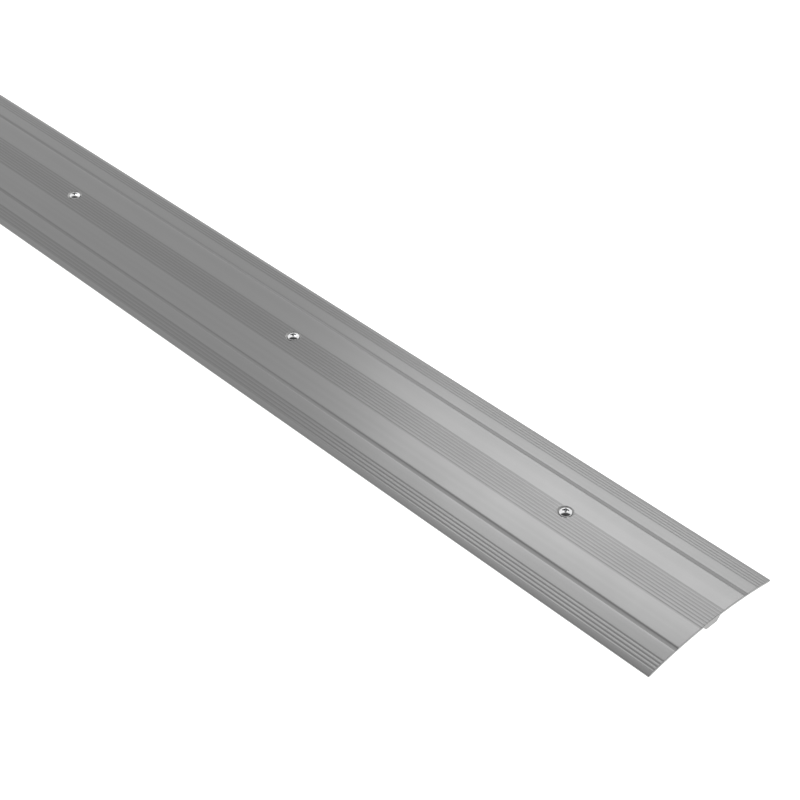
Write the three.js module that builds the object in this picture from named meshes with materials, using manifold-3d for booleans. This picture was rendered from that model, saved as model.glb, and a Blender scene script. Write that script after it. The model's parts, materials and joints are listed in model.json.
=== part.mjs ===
// Threshold strip: a low crowned aluminium cover strip for the floor joint in a doorway, with the screws and
// wall plugs that fasten it. Millimetres, +Z up. The strip runs along X and is centred on the origin, its two
// long edges rest on the floor plane z = 0, and the plugs sit in the floor below that plane.
import * as THREE from "three";
import { mergeVertices } from "three/addons/utils/BufferGeometryUtils.js";
import Module from "manifold-3d";

// ---- Strip: overall sizes and section ----
const STRIP_LENGTH = 900;
const STRIP_WIDTH = 80;
const PLATE_THICKNESS = 1.3;
const ARCH_RISE = 3.9; // height of the underside over the floor along the middle
const EDGE_LAND = 1.2; // flat strip along each long edge that rests on the floor
const LIP_HEIGHT = 0.75; // thickness left at the outer edges
const LIP_ROUND = 0.3;
const BEVEL_WIDTH = 2.5; // steeper run-off beside each long edge

// ---- Strip: foot under the middle ----
const FOOT_CLEARANCE = 1.4; // from the floor to the foot's underside
const FOOT_BOTTOM_WIDTH = 7;
const FOOT_ROOT_WIDTH = 11;

// ---- Strip: grooves in the top ----
const FINE_PITCH = 1.8;
const FINE_WIDTH = 1.3;
const FINE_DEPTH = 0.1;
const CENTRE_FINE_COUNT = 9; // ribbed band along the middle
const EDGE_FINE_COUNT = 4; // beside each bevel
const EDGE_FINE_INSET = 3.4; // from the outer edge to the outermost fine groove
const FLAT_GROOVE_INSET = 17.2; // from the outer edge to the flat groove's centre
const FLAT_GROOVE_WIDTH = 3.1;
const FLAT_GROOVE_DEPTH = 0.25;
const FLAT_GROOVE_WALL = 0.7; // how far each groove wall leans out
const CROWN_STEP = 3; // longest straight step along the crowned top

// ---- Screw holes ----
const SCREW_COUNT = 5;
const SCREW_PITCH = 180;
const HOLE_LINE_SHIFT = 3.5; // from the strip's half length to the middle hole, along the strip
const HOLE_LINE_OFFSET = 2.3; // from the strip's middle line to the middle hole, across the strip
const HOLE_LINE_DRIFT = 1.5; // how far the hole line moves sideways from one hole to the next
const HOLE_CLEARANCE = 0.4; // radial, around the screw's thread
const COUNTERSINK_MARGIN = 1; // radial, around the screw's head

// ---- Screws ----
const THREAD_DIAMETER = 3;
const CORE_DIAMETER = 2;
const THREAD_PITCH = 1.35;
const SCREW_LENGTH = 25; // from the head's rim to the point
const POINT_LENGTH = 3;
const NECK_LENGTH = 2; // least plain length between the head's cone and the thread
const HEAD_DIAMETER = 6;
const HEAD_RIM = 0.65; // straight side between the cone and the dome
const DOME_HEIGHT = 1.25;
const RECESS_SPAN = 3.2; // across the cross recess, tip to tip
const RECESS_WIDTH = 0.8;
const RECESS_DEPTH = 1.6; // below the top of the dome
const HEAD_SEAT_GAP = 0.2; // between the head's cone and the countersink, along the screw

// ---- Wall plugs ----
const PLUG_WALL = 0.45; // around the bore, between the ribs
const PLUG_BORE_CLEARANCE = 0.2; // radial, around the screw's thread
const PLUG_POINT_ROOM = 1.9; // from the driven screw's point to the end of the bore
const PLUG_TOP_GAP = 0.7; // from the floor plane down to the plug's mouth
const PLUG_COLLAR_LENGTH = 3;
const PLUG_RIB_COUNT = 6;
const PLUG_RIB_DEPTH = 0.35;
const PLUG_RIB_CREST = 0.8; // how far up each rib its sharp crest lies, as a share of the rib
const PLUG_NOSE_LENGTH = 3;
const PLUG_NOSE_TAPER = 0.8; // width of the nose's end, as a share of its root
const PLUG_SLOT_WIDTH = 0.8;

// ---- Facets ----
const HOLE_SIDES = 32;
const SCREW_SIDES = 16;
const PLUG_SIDES = 16;
const ARC_STEPS = 6;
const OVERSHOOT = 1; // how far a cutting tool reaches past the face it cuts

const wasm = await Module();
wasm.setup();

const halfWidth = STRIP_WIDTH / 2;
const archHalfSpan = halfWidth - EDGE_LAND;
const archRadius = (archHalfSpan ** 2 + ARCH_RISE ** 2) / (2 * ARCH_RISE);
const archCentre = ARCH_RISE - archRadius;
const headRadius = HEAD_DIAMETER / 2;
const coreRadius = CORE_DIAMETER / 2;
const threadRadius = THREAD_DIAMETER / 2;
const holeRadius = threadRadius + HOLE_CLEARANCE;
const sinkRadius = headRadius + COUNTERSINK_MARGIN;
// Both cones slope at 45 degrees, so a driven screw's rim stops this far below the strip's top.
const rimDepth = COUNTERSINK_MARGIN - HEAD_RIM - HEAD_SEAT_GAP;

// Height of the crowned top, grooves left out, at a distance y from the strip's middle.
function crownHeight(y) {
  return archCentre + Math.sqrt((archRadius + PLATE_THICKNESS) ** 2 - y ** 2);
}

function archHeight(y) {
  return archCentre + Math.sqrt(archRadius ** 2 - y ** 2);
}

function solidFrom(geometry) {
  const plain = geometry.clone();
  plain.deleteAttribute("normal");
  plain.deleteAttribute("uv");
  const merged = mergeVertices(plain, 1e-4);
  return new wasm.Manifold(
    new wasm.Mesh({
      numProp: 3,
      vertProperties: new Float32Array(merged.attributes.position.array),
      triVerts: new Uint32Array(merged.index.array),
    }),
  );
}

function geometryFrom(solid) {
  const mesh = solid.getMesh();
  const geometry = new THREE.BufferGeometry();
  geometry.setAttribute("position", new THREE.BufferAttribute(mesh.vertProperties, 3));
  geometry.setIndex(new THREE.BufferAttribute(mesh.triVerts, 1));
  geometry.computeVertexNormals();
  return geometry;
}

// A solid of revolution about Z. The outline is [radius, height] points, from its lowest point up.
function turned(outline, sides) {
  const points = outline.map(([radius, height]) => new THREE.Vector2(radius, height));
  return new THREE.LatheGeometry(points, sides).rotateX(Math.PI / 2);
}

// ---- Strip section, in y and z ----

// The grooves of one half of the top, from the middle outwards: each is its stretch of [distance, depth] points.
function halfGrooves() {
  const grooves = [];
  const fine = (centre) => [
    [centre - FINE_WIDTH / 2, 0],
    [centre, FINE_DEPTH],
    [centre + FINE_WIDTH / 2, 0],
  ];
  for (let k = 1; k <= (CENTRE_FINE_COUNT - 1) / 2; k++) grooves.push(fine(k * FINE_PITCH));
  const half = FLAT_GROOVE_WIDTH / 2;
  const flatCentre = halfWidth - FLAT_GROOVE_INSET;
  grooves.push([
    [flatCentre - half, 0],
    [flatCentre - half + FLAT_GROOVE_WALL, FLAT_GROOVE_DEPTH],
    [flatCentre + half - FLAT_GROOVE_WALL, FLAT_GROOVE_DEPTH],
    [flatCentre + half, 0],
  ]);
  for (let k = EDGE_FINE_COUNT - 1; k >= 0; k--) {
    grooves.push(fine(halfWidth - EDGE_FINE_INSET - k * FINE_PITCH));
  }
  return grooves;
}

// Points of one half of the top, from the middle outwards to the start of the bevel.
function halfTop() {
  const points = [
    [0, FINE_DEPTH],
    [FINE_WIDTH / 2, 0],
  ];
  const walkTo = (y) => {
    const from = points.at(-1)[0];
    const steps = Math.ceil((y - from) / CROWN_STEP);
    for (let i = 1; i < steps; i++) points.push([from + ((y - from) * i) / steps, 0]);
  };
  for (const groove of halfGrooves()) {
    walkTo(groove[0][0]);
    points.push(...groove);
  }
  walkTo(halfWidth - BEVEL_WIDTH);
  points.push([halfWidth - BEVEL_WIDTH, 0]);
  return points.map(([y, depth]) => [y, crownHeight(y) - depth]);
}

function stripSection() {
  const bevelSlope = (crownHeight(halfWidth - BEVEL_WIDTH) - LIP_HEIGHT) / BEVEL_WIDTH;
  const roundTop = LIP_HEIGHT + LIP_ROUND * bevelSlope;
  const rootHalf = FOOT_ROOT_WIDTH / 2;
  const bottomHalf = FOOT_BOTTOM_WIDTH / 2;
  const angleAt = (y) => Math.atan2(archHeight(y) - archCentre, y);
  const section = new THREE.Shape();
  section.moveTo(-halfWidth, 0);
  section.lineTo(-archHalfSpan, 0);
  section.absarc(0, archCentre, archRadius, angleAt(-archHalfSpan), angleAt(-rootHalf), true);
  section.lineTo(-bottomHalf, FOOT_CLEARANCE);
  section.lineTo(bottomHalf, FOOT_CLEARANCE);
  section.lineTo(rootHalf, archHeight(rootHalf));
  section.absarc(0, archCentre, archRadius, angleAt(rootHalf), angleAt(archHalfSpan), true);
  section.lineTo(halfWidth, 0);
  section.lineTo(halfWidth, LIP_HEIGHT - LIP_ROUND);
  section.quadraticCurveTo(halfWidth, LIP_HEIGHT, halfWidth - LIP_ROUND, roundTop);
  const half = halfTop();
  for (const [y, z] of half.toReversed()) section.lineTo(y, z);
  for (const [y, z] of half.slice(1)) section.lineTo(-y, z);
  section.lineTo(-halfWidth + LIP_ROUND, roundTop);
  section.quadraticCurveTo(-halfWidth, LIP_HEIGHT, -halfWidth, LIP_HEIGHT - LIP_ROUND);
  section.closePath();
  return section;
}

// ---- Screw places ----

// Where each screw stands: x along the strip, y across it, and the height of the strip's top there.
function screwPlaces() {
  const places = [];
  for (let i = 0; i < SCREW_COUNT; i++) {
    const fromMiddle = (SCREW_COUNT - 1) / 2 - i;
    const y = HOLE_LINE_OFFSET + fromMiddle * HOLE_LINE_DRIFT;
    places.push({ x: HOLE_LINE_SHIFT + fromMiddle * SCREW_PITCH, y, top: crownHeight(y) });
  }
  return places;
}

function holeTool(place) {
  const tool = turned(
    [
      [0, -OVERSHOOT],
      [holeRadius, -OVERSHOOT],
      [holeRadius, place.top - (sinkRadius - holeRadius)],
      [sinkRadius + OVERSHOOT, place.top + OVERSHOOT],
      [0, place.top + OVERSHOOT],
    ],
    HOLE_SIDES,
  );
  return solidFrom(tool.translate(place.x, place.y, 0));
}

function thresholdStrip(places) {
  const blank = new THREE.ExtrudeGeometry(stripSection(), {
    depth: STRIP_LENGTH,
    bevelEnabled: false,
    curveSegments: ARC_STEPS,
  });
  const alongX = new THREE.Matrix4().makeBasis(
    new THREE.Vector3(0, 1, 0),
    new THREE.Vector3(0, 0, 1),
    new THREE.Vector3(1, 0, 0),
  );
  blank.applyMatrix4(alongX).translate(-STRIP_LENGTH / 2, 0, 0);
  const drilled = places.reduce((solid, place) => solid.subtract(holeTool(place)), solidFrom(blank));
  return geometryFrom(drilled);
}

// ---- Screw, with its head's rim at z = 0 ----

function screw() {
  const threadStart = POINT_LENGTH - SCREW_LENGTH;
  const coneBottom = coreRadius - headRadius - HEAD_RIM;
  const turns = Math.floor((coneBottom - NECK_LENGTH - threadStart) / THREAD_PITCH);
  const outline = [
    [0, -SCREW_LENGTH],
    [coreRadius, threadStart],
  ];
  for (let i = 0; i < turns; i++) {
    outline.push([threadRadius, threadStart + (i + 0.5) * THREAD_PITCH]);
    outline.push([coreRadius, threadStart + (i + 1) * THREAD_PITCH]);
  }
  outline.push([coreRadius, coneBottom], [headRadius, -HEAD_RIM], [headRadius, 0]);
  const domeRadius = (headRadius ** 2 + DOME_HEIGHT ** 2) / (2 * DOME_HEIGHT);
  const domeAngle = Math.asin(headRadius / domeRadius);
  for (let i = 1; i <= ARC_STEPS; i++) {
    const angle = domeAngle * (1 - i / ARC_STEPS);
    outline.push([domeRadius * Math.sin(angle), DOME_HEIGHT - domeRadius * (1 - Math.cos(angle))]);
  }
  const blank = solidFrom(turned(outline, SCREW_SIDES));
  const wing = new THREE.BoxGeometry(RECESS_SPAN, RECESS_WIDTH, RECESS_DEPTH + OVERSHOOT);
  wing.translate(0, 0, DOME_HEIGHT - RECESS_DEPTH + (RECESS_DEPTH + OVERSHOOT) / 2);
  const cross = solidFrom(wing).add(solidFrom(wing.clone().rotateZ(Math.PI / 2)));
  return geometryFrom(blank.subtract(cross));
}

// ---- Wall plug, with its mouth at z = 0 ----

function wallPlug() {
  const bore = threadRadius + PLUG_BORE_CLEARANCE;
  const valley = bore + PLUG_WALL;
  const outer = valley + PLUG_RIB_DEPTH;
  const pointDepth = SCREW_LENGTH + rimDepth - crownHeight(0) - PLUG_TOP_GAP;
  const noseTop = -pointDepth - PLUG_POINT_ROOM;
  const slotLength = -noseTop - PLUG_COLLAR_LENGTH;
  const ribPitch = slotLength / PLUG_RIB_COUNT;
  const outline = [
    [0, noseTop - PLUG_NOSE_LENGTH],
    [valley * PLUG_NOSE_TAPER, noseTop - PLUG_NOSE_LENGTH],
    [valley, noseTop],
  ];
  for (let i = 0; i < PLUG_RIB_COUNT; i++) {
    const base = noseTop + i * ribPitch;
    outline.push([outer, base + PLUG_RIB_CREST * ribPitch], [valley, base + ribPitch]);
  }
  outline.push([outer, -PLUG_COLLAR_LENGTH + PLUG_RIB_DEPTH], [outer, 0], [bore, 0]);
  outline.push([bore, noseTop], [0, noseTop]);
  const slot = new THREE.BoxGeometry(2 * outer + OVERSHOOT, PLUG_SLOT_WIDTH, slotLength);
  slot.translate(0, 0, noseTop + slotLength / 2);
  return geometryFrom(solidFrom(turned(outline, PLUG_SIDES)).subtract(solidFrom(slot)));
}

// ---- Materials ----

const satinAluminium = new THREE.MeshStandardMaterial({ color: 0xa3a3a3, roughness: 0.38, metalness: 1 });
const brightZinc = new THREE.MeshStandardMaterial({ color: 0xd9dadb, roughness: 0.14, metalness: 1 });
const greyNylon = new THREE.MeshStandardMaterial({ color: 0x9a9c9e, roughness: 0.55, metalness: 0 });

// ---- Assembly ----

function named(name, geometry, material) {
  const mesh = new THREE.Mesh(geometry, material);
  mesh.name = name;
  return mesh;
}

const places = screwPlaces();
const assembly = new THREE.Group();
assembly.add(named("threshold_strip", thresholdStrip(places), satinAluminium));
const screwGeometry = screw();
const plugGeometry = wallPlug();
places.forEach((place, i) => {
  const fixing = new THREE.Group();
  fixing.position.set(place.x, place.y, 0);
  const screwMesh = named(`screw_${i + 1}`, screwGeometry, brightZinc);
  screwMesh.position.z = place.top - rimDepth;
  const plugMesh = named(`wall_plug_${i + 1}`, plugGeometry, greyNylon);
  plugMesh.position.z = -PLUG_TOP_GAP;
  fixing.add(screwMesh, plugMesh);
  assembly.add(fixing);
});

export default assembly;
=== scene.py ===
"""Looks of a screwed threshold strip: the extruded aluminium strip with its countersunk holes, its raised
countersunk screws and their wall plugs, on a plain pale floor. All in metres, in the frame's axes."""

import json
import math

import bmesh
import bpy
from bpy.props import FloatProperty, FloatVectorProperty, IntProperty, PointerProperty
from mathutils import Euler, Matrix, Vector
from mathutils.kdtree import KDTree


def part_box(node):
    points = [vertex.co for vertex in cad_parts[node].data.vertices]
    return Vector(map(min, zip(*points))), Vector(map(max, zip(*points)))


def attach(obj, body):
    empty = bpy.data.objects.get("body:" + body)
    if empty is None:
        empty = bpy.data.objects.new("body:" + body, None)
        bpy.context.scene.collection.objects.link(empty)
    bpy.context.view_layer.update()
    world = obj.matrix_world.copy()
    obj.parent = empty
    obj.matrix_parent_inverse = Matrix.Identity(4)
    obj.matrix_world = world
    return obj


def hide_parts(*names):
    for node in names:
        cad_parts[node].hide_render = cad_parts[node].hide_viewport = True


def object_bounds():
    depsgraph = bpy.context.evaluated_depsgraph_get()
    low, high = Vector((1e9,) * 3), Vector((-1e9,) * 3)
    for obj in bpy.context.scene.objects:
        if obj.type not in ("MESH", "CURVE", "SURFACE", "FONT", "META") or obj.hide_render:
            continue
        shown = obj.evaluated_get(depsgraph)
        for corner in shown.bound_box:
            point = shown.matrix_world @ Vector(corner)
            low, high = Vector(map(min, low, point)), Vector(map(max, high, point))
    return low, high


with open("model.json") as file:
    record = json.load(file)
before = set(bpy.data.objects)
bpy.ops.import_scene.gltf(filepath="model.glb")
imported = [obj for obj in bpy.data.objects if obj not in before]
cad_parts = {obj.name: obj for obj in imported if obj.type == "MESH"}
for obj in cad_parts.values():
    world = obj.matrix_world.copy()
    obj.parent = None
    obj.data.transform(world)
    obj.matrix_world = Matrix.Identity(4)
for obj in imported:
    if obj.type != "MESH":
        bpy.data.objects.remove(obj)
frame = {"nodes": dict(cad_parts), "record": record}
cad_low, cad_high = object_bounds()

bl_info = {
    "name": "Threshold Strip",
    "version": (1, 0, 0),
    "blender": (4, 5, 0),
    "location": "3D View > Sidebar > Threshold Strip",
    "description": "Builds a screwed aluminium threshold strip with its fixings",
    "category": "Add Mesh",
}

MM = 0.001
STRIP_NODE = "threshold_strip"
STRIP_LOW, STRIP_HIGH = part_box(STRIP_NODE)
SCREW_NODES = sorted(name for name in frame["nodes"] if name.startswith("screw_"))
PLUG_NODES = sorted(name for name in frame["nodes"] if name.startswith("wall_plug_"))
MOUNTS = {mount["name"]: mount for mount in frame["record"]["mounts"]}
BODY_OF = {node: body for body, nodes in frame["record"]["behaviour"]["bodies"].items() for node in nodes}
SCREW_LOW, SCREW_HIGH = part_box(SCREW_NODES[0])
PLUG_LOW, PLUG_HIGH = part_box(PLUG_NODES[0])


# ---------------------------------------------------------------- settings


def length(name, description, default):
    return FloatProperty(
        name=name, description=description, default=default, min=0.0, unit="LENGTH", precision=5
    )


def count(name, description, default):
    return IntProperty(name=name, description=description, default=default, min=1)


def share(name, description, default):
    return FloatProperty(
        name=name, description=description, default=default, min=0.0, max=1.0, subtype="FACTOR"
    )


def colour(name, description, default):
    return FloatVectorProperty(
        name=name, description=description, default=default, min=0.0, max=1.0, size=3, subtype="COLOR"
    )


def angle(name, description, degrees):
    return FloatProperty(name=name, description=description, default=math.radians(degrees), subtype="ANGLE")


def power(name, description, default):
    return FloatProperty(name=name, description=description, default=default, min=0.0, unit="POWER")


class StripSettings(bpy.types.PropertyGroup):
    """Section and finish of the extruded strip."""

    plate: length("Plate", "Thickness of the crowned plate", 1.3 * MM)
    arch_rise: length("Arch rise", "Height of the underside over the floor along the middle", 3.9 * MM)
    land: length("Edge land", "Flat run along each long edge that rests on the floor", 1.2 * MM)
    lip: length("Lip height", "Thickness left at the outer edges", 0.75 * MM)
    lip_round: length("Lip round", "Radius of the outer top corners", 0.3 * MM)
    bevel: length("Bevel", "Width of the steeper run-off beside each long edge", 2.5 * MM)
    foot_bottom: length("Foot width", "Width of the foot's flat underside", 7.0 * MM)
    foot_root: length("Foot root", "Width of the foot where it meets the plate", 11.0 * MM)
    foot_round: length("Foot round", "Radius along the foot's lower edges", 0.35 * MM)
    fine_pitch: length("Fine pitch", "Distance between fine grooves", 1.8 * MM)
    fine_width: length("Fine width", "Width of a fine groove", 1.5 * MM)
    fine_depth: length("Fine depth", "Depth of a fine groove", 0.09 * MM)
    centre_grooves: count("Middle grooves", "Fine grooves in the band along the middle", 9)
    edge_grooves: count("Edge grooves", "Fine grooves beside each bevel", 4)
    edge_inset: length("Edge inset", "From the outer edge to the outermost fine groove", 3.4 * MM)
    flat_offset: length("Flat groove offset", "From the middle to the flat groove's centre", 22.8 * MM)
    flat_width: length("Flat groove width", "Width of the flat groove", 3.1 * MM)
    flat_depth: length("Flat groove depth", "Depth of the flat groove", 0.25 * MM)
    flat_wall: length("Flat groove wall", "Run of each wall of the flat groove", 1.1 * MM)
    end_chamfer: length("End chamfer", "Deburred edge round the sawn ends", 0.12 * MM)
    hole_block: length("Hole block", "Half length of the stretch of strip that each hole is cut in", 7.0 * MM)
    hole_play: length("Hole play", "Gap between the screw's thread and its hole", 0.4 * MM)
    sink_margin: length("Sink margin", "How far the countersink is wider than the screw's head", 1.0 * MM)
    colour: colour("Aluminium", "Anodised aluminium", (0.26, 0.26, 0.26))
    # The grooved bands' darker aluminium colour is painted shade of the fine grooves, not a different finish.
    ribbed_shade_colour: colour("Grooved bands", "Aluminium in the bands of fine grooves", (0.21, 0.21, 0.21))
    # The flat groove's darker aluminium colour is painted shade in the groove; its higher roughness is the
    # real finish.
    groove_shade_colour: colour("Groove", "Duller aluminium in the flat grooves", (0.235, 0.235, 0.235))
    sawn_colour: colour("Sawn end", "Bare metal where the strip is sawn", (0.34, 0.34, 0.337))
    cut_colour: colour("Drilled hole", "Bare metal where the strip is drilled", (0.68, 0.68, 0.675))
    roughness: share("Roughness", "Roughness of the anodised surface", 0.3)
    grain: share("Grain", "How much the drawn grain spreads gloss across the strip", 0.7)


class ScrewSettings(bpy.types.PropertyGroup):
    """Sizes and finish of the raised countersunk screws."""

    head: length("Head", "Diameter of the head", (SCREW_HIGH.x - SCREW_LOW.x))
    rim: length("Rim", "Height of the head's straight rim", 0.65 * MM)
    dome: length("Dome", "Height of the raised head over its rim", 1.25 * MM)
    thread: length("Thread", "Outer diameter of the thread", 3.0 * MM)
    core: length("Core", "Diameter of the thread's root", 2.0 * MM)
    pitch: length("Pitch", "Rise of the thread in one turn", 1.35 * MM)
    point: length("Point", "Length of the tapered point", 3.6 * MM)
    neck: length("Neck", "Plain length under the head", 2.4 * MM)
    recess_span: length("Recess span", "Width of the cross recess, tip to tip", 3.3 * MM)
    recess_width: length("Recess width", "Width of each wing of the recess", 0.95 * MM)
    recess_depth: length("Recess depth", "Depth of the recess below the dome's top", 1.6 * MM)
    turn: angle("Turn", "How far the first screw's recess is turned", 40.0)
    turn_step: angle("Turn step", "How much further each next screw is turned", 94.0)
    colour: colour("Plating", "Bright zinc plating", (0.91, 0.915, 0.92))
    # The recess's dark zinc is painted shade inside the cross recess.
    recess_shade_colour: colour("Recess", "Thin, duller plating inside the recess", (0.34, 0.345, 0.35))
    roughness: share("Roughness", "Roughness of the plating", 0.1)


class PlugSettings(bpy.types.PropertyGroup):
    """Sizes and finish of the nylon wall plugs."""

    bore: length("Bore", "Diameter of the bore", 3.4 * MM)
    rib: length("Rib", "Height of the grip ribs", 0.35 * MM)
    ribs: count("Ribs", "Grip ribs along the plug", 9)
    collar: length("Collar", "Plain length at the mouth", 3.0 * MM)
    nose: length("Nose", "Length of the tapered nose", 3.0 * MM)
    slot: length("Slot", "Width of the slot that lets the plug spread", 0.8 * MM)
    colour: colour("Nylon", "Grey moulded nylon", (0.6, 0.61, 0.62))
    roughness: share("Roughness", "Roughness of the nylon", 0.5)


class StageSettings(bpy.types.PropertyGroup):
    """Camera, floor and studio light."""

    aim_along: length("Aim along", "Point the camera looks at, along the strip from its middle", 0.2565)
    aim_across: length("Aim across", "The same point, across the strip from its middle", 0.0068)
    distance: length("Distance", "From the camera to that point", 0.879)
    azimuth: angle("Azimuth", "Direction of view about the vertical", 46.19)
    elevation: angle("Elevation", "Height of the camera over the floor plane", 38.84)
    lens: FloatProperty(name="Lens", description="Focal length", default=83.54, min=1.0, unit="CAMERA")
    floor_size: length("Floor", "Width of the floor", 8.0)
    floor_colour: colour("Floor", "Pale floor", (0.3, 0.3, 0.3))
    floor_glow: FloatProperty(name="Glow", description="Light of the backlit floor", default=1.25, min=0)
    surround: share("Surround", "Brightness of the studio's walls", 0.92)
    dark: share("Dark ceiling", "Brightness of the ceiling over the unlit side", 0.05)
    dark_azimuth: angle("Dark side", "Direction of the unlit side, about the vertical", -47)
    dark_elevation: angle("Dark height", "Height over the floor where the unlit side begins", 31)
    key_distance: length("Key distance", "From the strip to each softbox", 1.4)
    low_azimuth: angle("Low direction", "Direction of the low softbox, about the vertical", 119)
    low_elevation: angle("Low height", "Height of the low softbox over the floor", 36)
    low: power("Low light", "Power of the low softbox", 1.4)
    low_width: length("Low width", "Width of the low softbox", 0.6)
    low_height: length("Low depth", "Height of the low softbox's face", 0.5)
    high_azimuth: angle("High direction", "Direction of the high softbox, about the vertical", 122)
    high_elevation: angle("High height", "Height of the high softbox over the floor", 54)
    high: power("High light", "Power of the high softbox", 1.5)
    high_width: length("High width", "Width of the high softbox", 0.85)
    high_height: length("High depth", "Height of the high softbox's face", 0.35)


class ThresholdStrip(bpy.types.PropertyGroup):
    """Everything that the operators read."""

    strip: PointerProperty(type=StripSettings)
    screw: PointerProperty(type=ScrewSettings)
    plug: PointerProperty(type=PlugSettings)
    stage: PointerProperty(type=StageSettings)


# ---------------------------------------------------------------- mesh helpers

SMOOTH_LIMIT = math.radians(28)
HOLE_SIDES = 96
CUTTER_RINGS = 14
CUTTER_RIPPLE = 0.012 * MM
SCREW_SIDES = 64
PLUG_SIDES = 64
OVERSHOOT = 0.5 * MM
TOUCHING = 0.001 * MM


def smoothstep(t):
    t = min(1.0, max(0.0, t))
    return t * t * (3.0 - 2.0 * t)


def smooth(bm):
    """Smooth shading everywhere except along sharp edges."""
    for face in bm.faces:
        face.smooth = True
    for edge in bm.edges:
        edge.smooth = len(edge.link_faces) == 2 and edge.calc_face_angle(math.pi) < SMOOTH_LIMIT


def object_from(bm, name, materials):
    """A linked object from a bmesh, smooth except along its sharp edges."""
    smooth(bm)
    mesh = bpy.data.meshes.new(name)
    bm.to_mesh(mesh)
    bm.free()
    for material in materials:
        mesh.materials.append(material)
    piece = bpy.data.objects.new(name, mesh)
    bpy.context.scene.collection.objects.link(piece)
    return piece


def turned_rows(bm, rows, sides, material=0):
    """Adds a body turned about Z: rows are (radius, height) from the bottom up, and radius 0 is a point."""
    rings = []
    for radius, height in rows:
        if radius == 0:
            rings.append([bm.verts.new((0, 0, height))])
            continue
        turns = (math.tau * k / sides for k in range(sides))
        rings.append([bm.verts.new((radius * math.cos(a), radius * math.sin(a), height)) for a in turns])
    for low, high in zip(rings, rings[1:]):
        for k in range(sides):
            after = (k + 1) % sides
            corners = [low[k % len(low)], low[after % len(low)], high[after % len(high)], high[k % len(high)]]
            face = bm.faces.new(list(dict.fromkeys(corners)))
            face.material_index = material
    return rings


def top_of(mesh):
    return max(vertex.co.z for vertex in mesh.vertices)


def cut_with(piece, tool):
    """Takes the tool's solid out of the piece and removes the tool."""
    modifier = piece.modifiers.new("Cut", "BOOLEAN")
    modifier.operation = "DIFFERENCE"
    modifier.solver = "EXACT"
    modifier.object = tool
    evaluated = piece.evaluated_get(bpy.context.evaluated_depsgraph_get())
    mesh = bpy.data.meshes.new_from_object(evaluated)
    if not mesh.vertices or top_of(mesh) > top_of(piece.data) + TOUCHING:
        raise RuntimeError(f"{tool.name} did not cut {piece.name} cleanly")
    mesh.name = piece.name
    piece.modifiers.clear()
    piece.data = mesh
    bpy.data.objects.remove(tool)


def sharpen(piece):
    """Marks sharp edges again after a cut."""
    bm = bmesh.new()
    bm.from_mesh(piece.data)
    smooth(bm)
    bm.to_mesh(piece.data)
    bm.free()


def stand_for(piece, node):
    """The piece takes the CAD node's place, on the same body."""
    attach(piece, BODY_OF[node])
    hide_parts(node)


# ---------------------------------------------------------------- material helpers


def node_group(name, inputs, outputs):
    """An empty shader node group with the named sockets, each (name, socket type, default)."""
    group = bpy.data.node_groups.new(name, "ShaderNodeTree")
    for label, kind, default in inputs:
        socket = group.interface.new_socket(name=label, in_out="INPUT", socket_type=kind)
        if default is not None:
            socket.default_value = default
    for label, kind in outputs:
        group.interface.new_socket(name=label, in_out="OUTPUT", socket_type=kind)
    return group, group.nodes.new("NodeGroupInput"), group.nodes.new("NodeGroupOutput")


def wire(tree, source, target):
    tree.links.new(source, target)


def drawn_lines_group():
    """Fine lines along one direction, as a die, a saw or a tool leaves them."""
    if "Drawn Lines" in bpy.data.node_groups:
        return bpy.data.node_groups["Drawn Lines"]
    group, given, result = node_group(
        "Drawn Lines",
        [("Vector", "NodeSocketVector", None), ("Stretch", "NodeSocketVector", (1, 1, 1))],
        [("Height", "NodeSocketFloat"), ("Shade", "NodeSocketFloat")],
    )
    stretched = group.nodes.new("ShaderNodeVectorMath")
    stretched.operation = "MULTIPLY"
    wire(group, given.outputs["Vector"], stretched.inputs[0])
    wire(group, given.outputs["Stretch"], stretched.inputs[1])
    lines = group.nodes.new("ShaderNodeTexNoise")
    lines.inputs["Scale"].default_value = 1.0
    lines.inputs["Detail"].default_value = 5.0
    lines.inputs["Roughness"].default_value = 0.65
    wire(group, stretched.outputs[0], lines.inputs["Vector"])
    broad = group.nodes.new("ShaderNodeTexNoise")
    broad.inputs["Scale"].default_value = 0.12
    broad.inputs["Detail"].default_value = 2.0
    wire(group, stretched.outputs[0], broad.inputs["Vector"])
    wire(group, lines.outputs["Fac"], result.inputs["Height"])
    wire(group, broad.outputs["Fac"], result.inputs["Shade"])
    return group


def mottle_group():
    """A slow, cloudy change between two values, with fine grain in it."""
    if "Mottle" in bpy.data.node_groups:
        return bpy.data.node_groups["Mottle"]
    group, given, result = node_group(
        "Mottle",
        [
            ("Vector", "NodeSocketVector", None),
            ("Scale", "NodeSocketFloat", 20.0),
            ("Low", "NodeSocketFloat", 0.0),
            ("High", "NodeSocketFloat", 1.0),
        ],
        [("Value", "NodeSocketFloat")],
    )
    cloud = group.nodes.new("ShaderNodeTexNoise")
    cloud.inputs["Detail"].default_value = 6.0
    cloud.inputs["Roughness"].default_value = 0.6
    wire(group, given.outputs["Vector"], cloud.inputs["Vector"])
    wire(group, given.outputs["Scale"], cloud.inputs["Scale"])
    spread = group.nodes.new("ShaderNodeMapRange")
    spread.inputs["From Min"].default_value = 0.3
    spread.inputs["From Max"].default_value = 0.7
    wire(group, cloud.outputs["Fac"], spread.inputs["Value"])
    wire(group, given.outputs["Low"], spread.inputs["To Min"])
    wire(group, given.outputs["High"], spread.inputs["To Max"])
    wire(group, spread.outputs["Result"], result.inputs["Value"])
    return group


def new_material(name):
    material = bpy.data.materials.new(name)
    material.use_nodes = True
    return material, material.node_tree, material.node_tree.nodes["Principled BSDF"]


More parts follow.
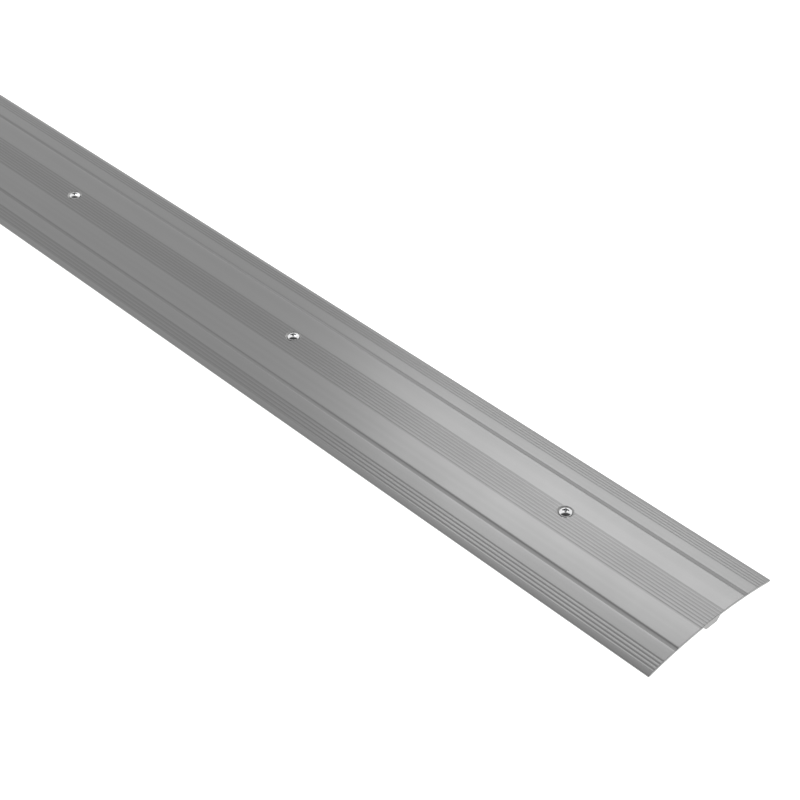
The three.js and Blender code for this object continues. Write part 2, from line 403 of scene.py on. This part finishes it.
def place_group(tree, group, source, **values):
    """A group node in the tree, reading the source vector, with its other inputs set."""
    placed = tree.nodes.new("ShaderNodeGroup")
    placed.node_tree = group
    wire(tree, source, placed.inputs["Vector"])
    for label, value in values.items():
        placed.inputs[label.replace("_", " ")].default_value = value
    return placed


def tinted(tree, base, factor, low, high):
    """The base colour times a factor that runs between low and high."""
    span = tree.nodes.new("ShaderNodeMapRange")
    span.inputs["From Min"].default_value = 0.3
    span.inputs["From Max"].default_value = 0.7
    span.inputs["To Min"].default_value = low
    span.inputs["To Max"].default_value = high
    wire(tree, factor, span.inputs["Value"])
    mixed = tree.nodes.new("ShaderNodeVectorMath")
    mixed.operation = "SCALE"
    mixed.inputs[0].default_value = tuple(base)
    wire(tree, span.outputs["Result"], mixed.inputs["Scale"])
    return mixed.outputs["Vector"]


def bumped(tree, shader, height, strength, distance):
    bump = tree.nodes.new("ShaderNodeBump")
    bump.inputs["Strength"].default_value = strength
    bump.inputs["Distance"].default_value = distance
    wire(tree, height, bump.inputs["Height"])
    wire(tree, bump.outputs["Normal"], shader.inputs["Normal"])
    return bump


def object_coordinates(tree):
    return tree.nodes.new("ShaderNodeTexCoord").outputs["Object"]


# ---------------------------------------------------------------- materials


def anodised_aluminium(strip, name, base):
    """Silver anodised aluminium with the die's fine lines along X."""
    material, tree, shader = new_material(name)
    where = object_coordinates(tree)
    lines = place_group(tree, drawn_lines_group(), where, Stretch=(8.0, 2600.0, 2600.0))
    cloud = place_group(
        tree, mottle_group(), where, Scale=28.0, Low=strip.roughness - 0.02, High=strip.roughness + 0.02
    )
    wire(tree, tinted(tree, base, lines.outputs["Shade"], 0.975, 1.025), shader.inputs["Base Color"])
    wire(tree, cloud.outputs["Value"], shader.inputs["Roughness"])
    shader.inputs["Metallic"].default_value = 1.0
    shader.inputs["Anisotropic"].default_value = strip.grain
    across = tree.nodes.new("ShaderNodeTangent")
    across.direction_type = "RADIAL"
    across.axis = "X"
    wire(tree, across.outputs["Tangent"], shader.inputs["Tangent"])
    bumped(tree, shader, lines.outputs["Height"], 0.05, 0.02 * MM)
    return material


def shaded_dull_aluminium(strip):
    """The flat grooves' floors, which the die leaves rougher and more drawn; their darker colour is painted
    shade.
    """
    material, tree, shader = new_material("Dull aluminium with painted shade")
    where = object_coordinates(tree)
    lines = place_group(tree, drawn_lines_group(), where, Stretch=(14.0, 3400.0, 3400.0))
    shade = lines.outputs["Shade"]
    # The darker groove colour is painted shade in the flat groove.
    wire(tree, tinted(tree, strip.groove_shade_colour, shade, 0.95, 1.05), shader.inputs["Base Color"])
    shader.inputs["Metallic"].default_value = 1.0
    shader.inputs["Roughness"].default_value = 0.5
    bumped(tree, shader, lines.outputs["Height"], 0.15, 0.02 * MM)
    return material


def sawn_aluminium(strip):
    """Bare aluminium at the ends, with the saw's lines across it."""
    material, tree, shader = new_material("Sawn aluminium")
    where = object_coordinates(tree)
    lines = place_group(tree, drawn_lines_group(), where, Stretch=(1.0, 4200.0, 260.0))
    shade = lines.outputs["Height"]
    wire(tree, tinted(tree, strip.sawn_colour, shade, 0.86, 1.0), shader.inputs["Base Color"])
    shader.inputs["Metallic"].default_value = 1.0
    shader.inputs["Roughness"].default_value = 0.42
    bumped(tree, shader, lines.outputs["Height"], 0.35, 0.03 * MM)
    return material


def machined_aluminium(strip):
    """Bare aluminium in the drilled and countersunk holes."""
    material, tree, shader = new_material("Machined aluminium")
    where = object_coordinates(tree)
    rings = place_group(tree, drawn_lines_group(), where, Stretch=(60.0, 60.0, 9000.0))
    shade = rings.outputs["Height"]
    wire(tree, tinted(tree, strip.cut_colour, shade, 0.85, 1.0), shader.inputs["Base Color"])
    shader.inputs["Metallic"].default_value = 1.0
    shader.inputs["Roughness"].default_value = 0.7
    bumped(tree, shader, rings.outputs["Height"], 0.25, 0.02 * MM)
    return material


def bright_zinc(screw, name, base):
    """Bright zinc plating, a little cloudy."""
    material, tree, shader = new_material(name)
    where = object_coordinates(tree)
    cloud = place_group(
        tree, mottle_group(), where, Scale=700.0, Low=screw.roughness - 0.04, High=screw.roughness + 0.06
    )
    lines = place_group(tree, drawn_lines_group(), where, Stretch=(900.0, 900.0, 900.0))
    wire(tree, tinted(tree, base, lines.outputs["Shade"], 0.93, 1.03), shader.inputs["Base Color"])
    wire(tree, cloud.outputs["Value"], shader.inputs["Roughness"])
    shader.inputs["Metallic"].default_value = 1.0
    bumped(tree, shader, lines.outputs["Height"], 0.08, 0.02 * MM)
    return material


def moulded_nylon(plug):
    """Matt moulded nylon with a faint grain."""
    material, tree, shader = new_material("Moulded nylon")
    where = object_coordinates(tree)
    cloud = place_group(
        tree, mottle_group(), where, Scale=300.0, Low=plug.roughness - 0.08, High=plug.roughness + 0.08
    )
    grain = place_group(tree, drawn_lines_group(), where, Stretch=(6000.0, 6000.0, 5000.0))
    wire(tree, tinted(tree, plug.colour, grain.outputs["Shade"], 0.95, 1.04), shader.inputs["Base Color"])
    wire(tree, cloud.outputs["Value"], shader.inputs["Roughness"])
    shader.inputs["Subsurface Weight"].default_value = 0.15
    shader.inputs["Subsurface Radius"].default_value = (0.001, 0.001, 0.001)
    shader.inputs["Subsurface Scale"].default_value = 0.5
    bumped(tree, shader, grain.outputs["Height"], 0.2, 0.02 * MM)
    return material


def pale_floor(stage):
    material, tree, shader = new_material("Pale floor")
    shader.inputs["Base Color"].default_value = (*stage.floor_colour, 1.0)
    shader.inputs["Roughness"].default_value = 0.9
    shader.inputs["Emission Color"].default_value = (1.0, 1.0, 1.0, 1.0)
    shader.inputs["Emission Strength"].default_value = stage.floor_glow
    return material


# ---------------------------------------------------------------- extruded strip

# Order of the strip's finishes in its material list. The flat groove's and the fine grooves' finishes have
# darker colours that are painted shade.
ANODISED, SAWN, CUT, FLAT_GROOVE, FINE_GROOVES = range(5)


class Section:
    """The strip's section in y and z, symmetric about its middle."""

    CROWN_STEP = 0.5 * MM
    GROOVE_STEPS = 10
    ARC_STEPS = 8

    def __init__(self, strip):
        self.strip = strip
        self.half = STRIP_HIGH.y
        self.span = self.half - strip.land
        self.radius = (self.span**2 + strip.arch_rise**2) / (2 * strip.arch_rise)
        self.centre = strip.arch_rise - self.radius
        self.foot_height = MOUNTS["foot_face"]["pos_m"][2]

    def crown(self, y):
        return self.centre + math.sqrt((self.radius + self.strip.plate) ** 2 - y**2)

    def arch(self, y):
        return self.centre + math.sqrt(self.radius**2 - y**2)

    def fine_centres(self):
        strip = self.strip
        middle = [k * strip.fine_pitch for k in range((strip.centre_grooves + 1) // 2)]
        edge = [self.half - strip.edge_inset - k * strip.fine_pitch for k in range(strip.edge_grooves)]
        return middle + sorted(edge)

    def depth(self, y):
        """How deep the grooves are at a distance y from the middle."""
        strip = self.strip
        for centre in self.fine_centres():
            off = abs(y - centre) / (strip.fine_width / 2)
            if off < 1:
                return strip.fine_depth * (1 - smoothstep(off))
        off = strip.flat_width / 2 - abs(y - strip.flat_offset)
        return strip.flat_depth * smoothstep(off / strip.flat_wall)

    def top_stops(self):
        """Distances from the middle at which the top gets a point, from 0 to the bevel's start."""
        strip = self.strip
        stops = {0.0, self.half - strip.bevel}
        for centre in self.fine_centres():
            for k in range(self.GROOVE_STEPS + 1):
                stops.add(centre + strip.fine_width * (k / self.GROOVE_STEPS - 0.5))
        for side in (-1, 1):
            wall = strip.flat_offset + side * (strip.flat_width - strip.flat_wall) / 2
            for k in range(self.ARC_STEPS + 1):
                stops.add(wall + strip.flat_wall * (k / self.ARC_STEPS - 0.5))
        stops = sorted(stop for stop in stops if stop >= 0)
        filled = stops[:1]
        for stop in stops[1:]:
            if stop - filled[-1] < TOUCHING / 10:
                continue
            steps = math.ceil((stop - filled[-1]) / self.CROWN_STEP)
            start = filled[-1]
            filled += [start + (stop - start) * (k + 1) / steps for k in range(steps)]
        return filled

    def rounded(self, before, corner, after, radius):
        """Points of an arc that rounds the corner between its two neighbours."""
        corner, before, after = Vector(corner), Vector(before), Vector(after)
        start = corner + (before - corner).normalized() * radius
        end = corner + (after - corner).normalized() * radius
        points = []
        for k in range(self.ARC_STEPS + 1):
            t = k / self.ARC_STEPS
            points.append(tuple(start * (1 - t) ** 2 + corner * 2 * t * (1 - t) + end * t**2))
        return points

    def half_outline(self):
        """Points (y, z) of the half with y over 0, from the foot's middle round to the top's middle."""
        strip = self.strip
        root, bottom = strip.foot_root / 2, strip.foot_bottom / 2
        foot = [(0.0, self.foot_height)]
        foot += self.rounded((0, self.foot_height), (bottom, self.foot_height), (root, self.arch(root)),
                             strip.foot_round)
        arch_steps = math.ceil((self.span - root) / (2 * self.CROWN_STEP))
        arch = []
        for k in range(1, arch_steps + 1):
            y = root + (self.span - root) * k / arch_steps
            arch.append((y, self.arch(y)))
        foot += self.rounded((bottom, self.foot_height), (root, self.arch(root)), arch[0], strip.foot_round)
        bevel_start = (self.half - strip.bevel, self.crown(self.half - strip.bevel))
        edge = self.rounded(arch[-1], (self.half, 0.0), (self.half, strip.lip), strip.lip_round / 3)
        edge += self.rounded((self.half, 0.0), (self.half, strip.lip), bevel_start, strip.lip_round)
        top = [(y, self.crown(y) - self.depth(y)) for y in reversed(self.top_stops())]
        return foot + arch + edge + top

    def outline(self):
        half = self.half_outline()
        return half + [(-y, z) for y, z in reversed(half[1:-1])]

    def deburred(self, distance):
        """The outline at the strip's very end, drawn in towards the middle of the plate."""
        drawn = []
        for y, z in self.outline():
            across = min(abs(y), self.span)
            middle = (self.arch(across) + min(self.crown(across), self.arch(across) + self.strip.plate)) / 2
            off = middle - z
            drawn.append((y * (1 - distance / self.half), z + math.copysign(min(distance, abs(off)), off)))
        return drawn

    def in_flat_groove(self, y):
        return abs(abs(y) - self.strip.flat_offset) < (self.strip.flat_width - self.strip.flat_wall) / 2

    def in_fine_grooves(self, y):
        """Whether y lies in one of the bands of fine grooves."""
        reach = self.strip.fine_pitch / 2
        return any(abs(abs(y) - centre) < reach for centre in self.fine_centres())

    def top_finish(self, y):
        """Material index of the top at y."""
        if self.in_flat_groove(y):
            return FLAT_GROOVE
        return FINE_GROOVES if self.in_fine_grooves(y) else ANODISED


def strip_stations(strip, hole_places):
    """Places along the strip where its outline is repeated: ends, chamfers, and round each hole."""
    stations = {STRIP_LOW.x, STRIP_LOW.x + strip.end_chamfer, STRIP_HIGH.x - strip.end_chamfer, STRIP_HIGH.x}
    for place in hole_places:
        stations |= {place.x - strip.hole_block, place.x + strip.hole_block}
    return sorted(stations)


def close_end(bm, ring):
    """Closes one end of the strip with a row of triangles between its underside and its top."""
    edge = max(range(len(ring) // 2), key=lambda k: ring[k].co.y)
    under = [ring[k] for k in range(-edge, edge + 1)]
    top = [ring[k] for k in range(len(ring) - edge, edge - 1, -1)]
    i = j = 0
    while i + 1 < len(under) or j + 1 < len(top):
        if j + 1 == len(top) or (i + 1 < len(under) and under[i + 1].co.y < top[j + 1].co.y):
            corners = (under[i], top[j], under[i + 1])
            i += 1
        else:
            corners = (under[i], top[j], top[j + 1])
            j += 1
        if len(set(corners)) == 3:
            bm.faces.new(corners).material_index = SAWN


def deburr_ends(piece, section, distance):
    """Draws in the outline at both ends of the cut strip, which leaves a small chamfer."""
    outline, drawn = section.outline(), section.deburred(distance)
    nearest = KDTree(len(outline))
    for k, (y, z) in enumerate(outline):
        nearest.insert((0, y, z), k)
    nearest.balance()
    for vertex in piece.data.vertices:
        if min(vertex.co.x - STRIP_LOW.x, STRIP_HIGH.x - vertex.co.x) < distance / 2:
            vertex.co.y, vertex.co.z = drawn[nearest.find((0, vertex.co.y, vertex.co.z))[1]]


def screw_places():
    """The point where each screw's axis meets its head's top."""
    places = []
    for node in SCREW_NODES:
        low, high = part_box(node)
        places.append(Vector(((low.x + high.x) / 2, (low.y + high.y) / 2, high.z)))
    return places


def hole_tool(strip, screw, place, crown_height):
    """The drill and countersink of one hole, with the cutter's faint rings on the cone."""
    bm = bmesh.new()
    hole = screw.thread / 2 + strip.hole_play
    sink = screw.head / 2 + strip.sink_margin
    rows = [(0, -OVERSHOOT), (hole, -OVERSHOOT)]
    for k in range(CUTTER_RINGS + 1):
        radius = hole + (sink + OVERSHOOT - hole) * k / CUTTER_RINGS
        ripple = CUTTER_RIPPLE if k % 2 and k < CUTTER_RINGS else 0.0
        rows.append((radius, crown_height - sink + radius - ripple))
    rows.append((0, crown_height + OVERSHOOT))
    turned_rows(bm, rows, HOLE_SIDES, material=CUT)
    bmesh.ops.translate(bm, verts=bm.verts, vec=(place.x, place.y, 0))
    return object_from(bm, "Hole tool", [])


class THRESHOLD_OT_strip(bpy.types.Operator):
    """Builds the extruded strip with its grooves, sawn ends and countersunk holes."""

    bl_idname = "threshold.strip"
    bl_label = "Build Strip"

    def execute(self, context):
        settings = context.scene.threshold_strip
        strip, screw = settings.strip, settings.screw
        section = Section(strip)
        outline = section.outline()
        places = screw_places()
        bm = bmesh.new()
        rings = [[bm.verts.new((x, y, z)) for y, z in outline] for x in strip_stations(strip, places)]
        for left, right in zip(rings, rings[1:]):
            for k, (y, z) in enumerate(outline):
                after = (k + 1) % len(outline)
                face = bm.faces.new((left[k], left[after], right[after], right[k]))
                middle = (y + outline[after][0]) / 2
                if abs(middle) < section.span and z > section.arch(middle) + strip.plate / 4:
                    face.material_index = section.top_finish(middle)
        for ring in (rings[0], rings[-1]):
            close_end(bm, ring)
        bmesh.ops.recalc_face_normals(bm, faces=bm.faces)
        finishes = [
            anodised_aluminium(strip, "Anodised aluminium", strip.colour),
            sawn_aluminium(strip),
            machined_aluminium(strip),
            shaded_dull_aluminium(strip),
            # The grooved bands get the anodised material with a darker base colour, which is painted shade.
            anodised_aluminium(strip, "Grooved aluminium with painted shade", strip.ribbed_shade_colour),
        ]
        piece = object_from(bm, "extruded_strip", finishes)
        for place in places:
            cut_with(piece, hole_tool(strip, screw, place, section.crown(place.y)))
        deburr_ends(piece, section, strip.end_chamfer)
        sharpen(piece)
        stand_for(piece, STRIP_NODE)
        return {"FINISHED"}


# ---------------------------------------------------------------- screws

# Place of the recess's finish in a screw's material list, after the plating. That finish is zinc darkened as
# painted shade.
RECESS = 1


def thread_height(phase):
    """Height of the thread's ridge over its root, as a share, round one turn."""
    off = abs(phase % 1.0 - 0.5) / 0.22
    return max(0.0, 1.0 - off)


def threaded_shank(bm, screw, low, high):
    """A shank with a helical thread, from its point at low to its neck at high."""
    pitch, core, crest = screw.pitch, screw.core / 2, screw.thread / 2
    sides = SCREW_SIDES
    phases = (0.0, 0.28, 0.42, 0.5, 0.58, 0.72)
    thread_end = high - screw.neck
    rows = []
    first = math.floor(low / pitch) - 2
    last = math.ceil(high / pitch) + 1
    for turn in range(first, last):
        for phase in phases:
            row = []
            for k in range(sides):
                z = (turn + phase + k / sides) * pitch
                z = min(high, max(low, z))
                tip = min(1.0, (z - low) / screw.point)
                fade = smoothstep((thread_end - z) / (0.8 * pitch)) * min(1.0, tip * 2.5)
                root = core * tip ** 0.7
                ridge = (crest - core) * thread_height(phase) * fade
                a = math.tau * k / sides
                r = root + ridge
                row.append(bm.verts.new((r * math.cos(a), r * math.sin(a), z)))
            rows.append(row)
    step = len(phases)
    for j in range(len(rows) - 1):
        for k in range(sides - 1):
            bm.faces.new((rows[j][k], rows[j][k + 1], rows[j + 1][k + 1], rows[j + 1][k]))
        if j + step + 1 < len(rows):
            seam = (rows[j + step][0], rows[j + step + 1][0], rows[j + 1][sides - 1], rows[j][sides - 1])
            bm.faces.new(seam)
    bmesh.ops.remove_doubles(bm, verts=bm.verts, dist=1e-7)


def cross_tool(screw):
    """The tapered cross punch that forms the recess, standing on the dome's top."""
    bm = bmesh.new()
    levels = (
        (screw.dome + OVERSHOOT, 1.0 + 0.45 * OVERSHOOT / screw.recess_depth, 1.1),
        (screw.dome - screw.recess_depth * 0.8, 0.62, 0.8),
    )
    rings = []
    for z, span_share, width_share in levels:
        tip = screw.recess_span / 2 * span_share
        side = screw.recess_width / 2 * width_share
        inner = side * 1.5
        arm = [(tip, -side * 0.8), (tip, side * 0.8), (inner, side), (side, inner)]
        ring = []
        for quarter in range(4):
            turn = Matrix.Rotation(quarter * math.pi / 2, 3, "Z")
            ring += [bm.verts.new(turn @ Vector((x, y, z))) for x, y in arm]
        rings.append(ring)
    top, bottom = rings
    bm.faces.new(top)
    for k in range(len(top)):
        after = (k + 1) % len(top)
        bm.faces.new((top[after], top[k], bottom[k], bottom[after]))
    floor = bm.verts.new((0, 0, screw.dome - screw.recess_depth))
    for k in range(len(bottom)):
        bm.faces.new((bottom[(k + 1) % len(bottom)], bottom[k], floor))
    bmesh.ops.recalc_face_normals(bm, faces=bm.faces)
    for face in bm.faces:
        face.material_index = RECESS
    return object_from(bm, "Cross tool", [])


def head_rows(screw):
    """(radius, height) of the head from the shank up over the countersunk cone, the rim and the dome."""
    head = screw.head / 2
    core = screw.core / 2
    soft = 0.06 * MM
    dome_radius = (head**2 + screw.dome**2) / (2 * screw.dome)
    rows = [(core, -screw.rim - (head - core))]
    rows += [(head - soft, -screw.rim - soft), (head, -screw.rim + soft), (head, -soft)]
    steps = 20
    spread = math.asin((head - soft) / dome_radius)
    for k in range(steps + 1):
        a = spread * (1 - k / steps)
        radius = dome_radius * math.sin(a) if k < steps else 0
        rows.append((radius, screw.dome - dome_radius * (1 - math.cos(a))))
    return rows


def screw_mesh(screw, materials):
    """One screw about Z, with its head's rim at z = 0."""
    bm = bmesh.new()
    shank_top = -screw.rim - (screw.head - screw.core) / 2
    tip = SCREW_LOW.z - SCREW_HIGH.z + screw.dome
    threaded_shank(bm, screw, tip, shank_top)
    turned_rows(bm, head_rows(screw), SCREW_SIDES)
    bmesh.ops.remove_doubles(bm, verts=bm.verts, dist=1e-6)
    bmesh.ops.recalc_face_normals(bm, faces=bm.faces)
    piece = object_from(bm, "screw_pattern", materials)
    cut_with(piece, cross_tool(screw))
    sharpen(piece)
    mesh = piece.data
    bpy.data.objects.remove(piece)
    return mesh


class THRESHOLD_OT_screws(bpy.types.Operator):
    """Builds the raised countersunk screws, each with its own turn."""

    bl_idname = "threshold.screws"
    bl_label = "Build Screws"

    def execute(self, context):
        screw = context.scene.threshold_strip.screw
        finishes = [
            bright_zinc(screw, "Bright zinc", screw.colour),
            # The recess gets the zinc darkened as painted shade.
            bright_zinc(screw, "Recess zinc with painted shade", screw.recess_shade_colour),
        ]
        mesh = screw_mesh(screw, finishes)
        for k, (node, place) in enumerate(zip(SCREW_NODES, screw_places())):
            own = mesh.copy()
            own.transform(Matrix.Rotation(screw.turn + k * screw.turn_step, 4, "Z"))
            piece = bpy.data.objects.new(f"countersunk_{node}", own)
            piece.location = place - Vector((0, 0, screw.dome))
            context.scene.collection.objects.link(piece)
            stand_for(piece, node)
        return {"FINISHED"}


# ---------------------------------------------------------------- wall plugs


def plug_rows(plug, depth, outer):
    """(radius, height) of the plug from the nose up over its ribs and collar and down its bore."""
    valley = outer - plug.rib
    bore = plug.bore / 2
    nose_top = plug.nose - depth
    rows = [(0, -depth)]
    for k in range(7):
        a = math.pi / 2 * k / 6
        radius = 0.55 * valley * math.sin(a) + 0.25 * valley
        rows.append((radius, -depth + 0.3 * plug.nose * (1 - math.cos(a))))
    rows.append((valley, nose_top))
    pitch = (depth - plug.nose - plug.collar) / plug.ribs
    for k in range(plug.ribs):
        base = nose_top + k * pitch
        rows += [(valley + 0.25 * plug.rib, base + 0.3 * pitch), (outer - 0.04 * MM, base + 0.74 * pitch)]
        rows += [(outer, base + 0.78 * pitch), (outer - 0.04 * MM, base + 0.82 * pitch)]
        rows.append((valley, base + 0.9 * pitch))
        rows.append((valley, base + pitch))
    rows += [(outer - 0.1 * MM, -plug.collar + plug.rib), (outer, -plug.collar + plug.rib + 0.1 * MM)]
    rows += [(outer, -0.12 * MM), (outer - 0.12 * MM, 0), (bore + 0.3 * MM, 0), (bore, -0.4 * MM)]
    rows += [(bore, nose_top + 0.6 * MM), (0.5 * bore, nose_top), (0, nose_top)]
    return rows


def slot_tool(plug, depth, outer):
    """A flat bar with round ends, for the slot that splits the plug into two legs."""
    bm = bmesh.new()
    top, bottom, half = -plug.collar, plug.nose - depth, plug.slot / 2
    outline = []
    for centre, start in ((top - half, 0.0), (bottom + half, math.pi)):
        for k in range(13):
            a = start + math.pi * k / 12
            outline.append((half * math.cos(a), centre + half * math.sin(a)))
    sides = [[bm.verts.new((x, y, z)) for y, z in outline] for x in (-2 * outer, 2 * outer)]
    bm.faces.new(sides[0])
    bm.faces.new(list(reversed(sides[1])))
    for k in range(len(outline)):
        after = (k + 1) % len(outline)
        bm.faces.new((sides[0][k], sides[1][k], sides[1][after], sides[0][after]))
    bmesh.ops.recalc_face_normals(bm, faces=bm.faces)
    return object_from(bm, "Slot tool", [])


class THRESHOLD_OT_plugs(bpy.types.Operator):
    """Builds the nylon wall plugs under the strip."""

    bl_idname = "threshold.plugs"
    bl_label = "Build Wall Plugs"

    def execute(self, context):
        plug = context.scene.threshold_strip.plug
        depth = PLUG_HIGH.z - PLUG_LOW.z
        outer = (PLUG_HIGH.x - PLUG_LOW.x) / 2
        bm = bmesh.new()
        turned_rows(bm, plug_rows(plug, depth, outer), PLUG_SIDES)
        bmesh.ops.recalc_face_normals(bm, faces=bm.faces)
        pattern = object_from(bm, "plug_pattern", [moulded_nylon(plug)])
        cut_with(pattern, slot_tool(plug, depth, outer))
        sharpen(pattern)
        for node in PLUG_NODES:
            low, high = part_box(node)
            piece = bpy.data.objects.new(f"nylon_{node}", pattern.data)
            piece.location = ((low.x + high.x) / 2, (low.y + high.y) / 2, high.z)
            context.scene.collection.objects.link(piece)
            stand_for(piece, node)
        bpy.data.objects.remove(pattern)
        return {"FINISHED"}


# ---------------------------------------------------------------- stage


# How far a direction points to the dark side where the light has gone, and where it is full again.
SIDE_DARK, SIDE_LIT = 0.06, -0.2
CEILING_FADE = 0.13


def softbox(name, place, aim, width, height, watts):
    light = bpy.data.lights.new(name, "AREA")
    light.shape = "RECTANGLE"
    light.size = width
    light.size_y = height
    light.energy = watts
    lamp = bpy.data.objects.new(name, light)
    lamp.location = place
    lamp.rotation_euler = (Vector(aim) - Vector(place)).to_track_quat("-Z", "Y").to_euler()
    bpy.context.scene.collection.objects.link(lamp)
    return lamp


def towards(azimuth, elevation):
    """Unit vector at an angle about the vertical from +X, and a height over the floor."""
    level = math.cos(elevation)
    return Vector((math.cos(azimuth) * level, math.sin(azimuth) * level, math.sin(elevation)))


def lit_share(tree, where, direction, dark, lit):
    """How far the studio is lit, going by how far a direction points along another: dark to lit."""
    facing = tree.nodes.new("ShaderNodeVectorMath")
    facing.operation = "DOT_PRODUCT"
    facing.inputs[1].default_value = direction
    wire(tree, where, facing.inputs[0])
    share_lit = tree.nodes.new("ShaderNodeMapRange")
    share_lit.interpolation_type = "SMOOTHSTEP"
    share_lit.inputs["From Min"].default_value = dark
    share_lit.inputs["From Max"].default_value = lit
    wire(tree, facing.outputs["Value"], share_lit.inputs["Value"])
    return share_lit.outputs["Result"]


def studio_world(stage):
    """Grey studio walls under a dark ceiling on one side, and white where it shows behind the floor."""
    world = bpy.data.worlds.new("Studio")
    world.use_nodes = True
    tree = world.node_tree
    background = tree.nodes["Background"]
    background.inputs["Color"].default_value = (1, 1, 1, 1)
    where = tree.nodes.new("ShaderNodeTexCoord").outputs["Generated"]
    height = math.sin(stage.dark_elevation)
    lit = tree.nodes.new("ShaderNodeMath")
    lit.operation = "MAXIMUM"
    wire(tree, lit_share(tree, where, towards(stage.dark_azimuth, 0), SIDE_DARK, SIDE_LIT), lit.inputs[0])
    wire(tree, lit_share(tree, where, (0, 0, 1), height, height - CEILING_FADE), lit.inputs[1])
    level = tree.nodes.new("ShaderNodeMapRange")
    level.inputs["To Min"].default_value = stage.dark
    level.inputs["To Max"].default_value = stage.surround
    wire(tree, lit.outputs["Value"], level.inputs["Value"])
    rays = tree.nodes.new("ShaderNodeLightPath")
    seen = tree.nodes.new("ShaderNodeMix")
    seen.inputs["B"].default_value = 1.0
    wire(tree, rays.outputs["Is Camera Ray"], seen.inputs["Factor"])
    wire(tree, level.outputs["Result"], seen.inputs["A"])
    wire(tree, seen.outputs["Result"], background.inputs["Strength"])
    return world


class THRESHOLD_OT_stage(bpy.types.Operator):
    """Sets up the camera, the pale floor and the studio light."""

    bl_idname = "threshold.stage"
    bl_label = "Set Up Stage"

    def execute(self, context):
        stage = context.scene.threshold_strip.stage
        self.camera(context, stage)
        self.floor(context, stage)
        self.lights(context, stage)
        context.scene.view_settings.view_transform = "Standard"
        return {"FINISHED"}

    def camera(self, context, stage):
        data = bpy.data.cameras.new("Camera")
        data.lens = stage.lens
        data.clip_start, data.clip_end = 0.01, 50.0
        camera = bpy.data.objects.new("Camera", data)
        turn = Euler((math.pi / 2 - stage.elevation, 0, stage.azimuth))
        aim = Vector((stage.aim_along, stage.aim_across, STRIP_HIGH.z))
        camera.rotation_euler = turn
        camera.location = aim + turn.to_matrix() @ Vector((0, 0, stage.distance))
        context.scene.collection.objects.link(camera)
        context.scene.camera = camera

    def floor(self, context, stage):
        half = stage.floor_size / 2
        bm = bmesh.new()
        corners = ((-half, -half), (half, -half), (half, half), (-half, half))
        bm.faces.new([bm.verts.new((x, y, cad_low.z)) for x, y in corners])
        floor = object_from(bm, "floor", [pale_floor(stage)])

    def lights(self, context, stage):
        aim = Vector((stage.aim_along, 0, 0))
        low = aim + towards(stage.low_azimuth, stage.low_elevation) * stage.key_distance
        high = aim + towards(stage.high_azimuth, stage.high_elevation) * stage.key_distance
        softbox("Low softbox", low, aim, stage.low_width, stage.low_height, stage.low)
        softbox("High softbox", high, aim, stage.high_width, stage.high_height, stage.high)
        context.scene.world = studio_world(stage)


# ---------------------------------------------------------------- panel


class THRESHOLD_PT_panel(bpy.types.Panel):
    """Lists the build steps and their settings."""

    bl_label = "Threshold Strip"
    bl_idname = "THRESHOLD_PT_panel"
    bl_space_type = "VIEW_3D"
    bl_region_type = "UI"
    bl_category = "Threshold Strip"

    def draw(self, context):
        settings = context.scene.threshold_strip
        for operator, group in (
            ("threshold.stage", settings.stage),
            ("threshold.strip", settings.strip),
            ("threshold.screws", settings.screw),
            ("threshold.plugs", settings.plug),
        ):
            box = self.layout.box()
            box.operator(operator)
            for label in group.__annotations__:
                box.prop(group, label)


CLASSES = (
    StripSettings,
    ScrewSettings,
    PlugSettings,
    StageSettings,
    ThresholdStrip,
    THRESHOLD_OT_stage,
    THRESHOLD_OT_strip,
    THRESHOLD_OT_screws,
    THRESHOLD_OT_plugs,
    THRESHOLD_PT_panel,
)


def register():
    for each in CLASSES:
        bpy.utils.register_class(each)
    bpy.types.Scene.threshold_strip = PointerProperty(type=ThresholdStrip)


def unregister():
    del bpy.types.Scene.threshold_strip
    for each in reversed(CLASSES):
        bpy.utils.unregister_class(each)


def main():
    register()
    bpy.ops.threshold.stage()
    bpy.ops.threshold.strip()
    bpy.ops.threshold.screws()
    bpy.ops.threshold.plugs()


if __name__ == "__main__":
    main()
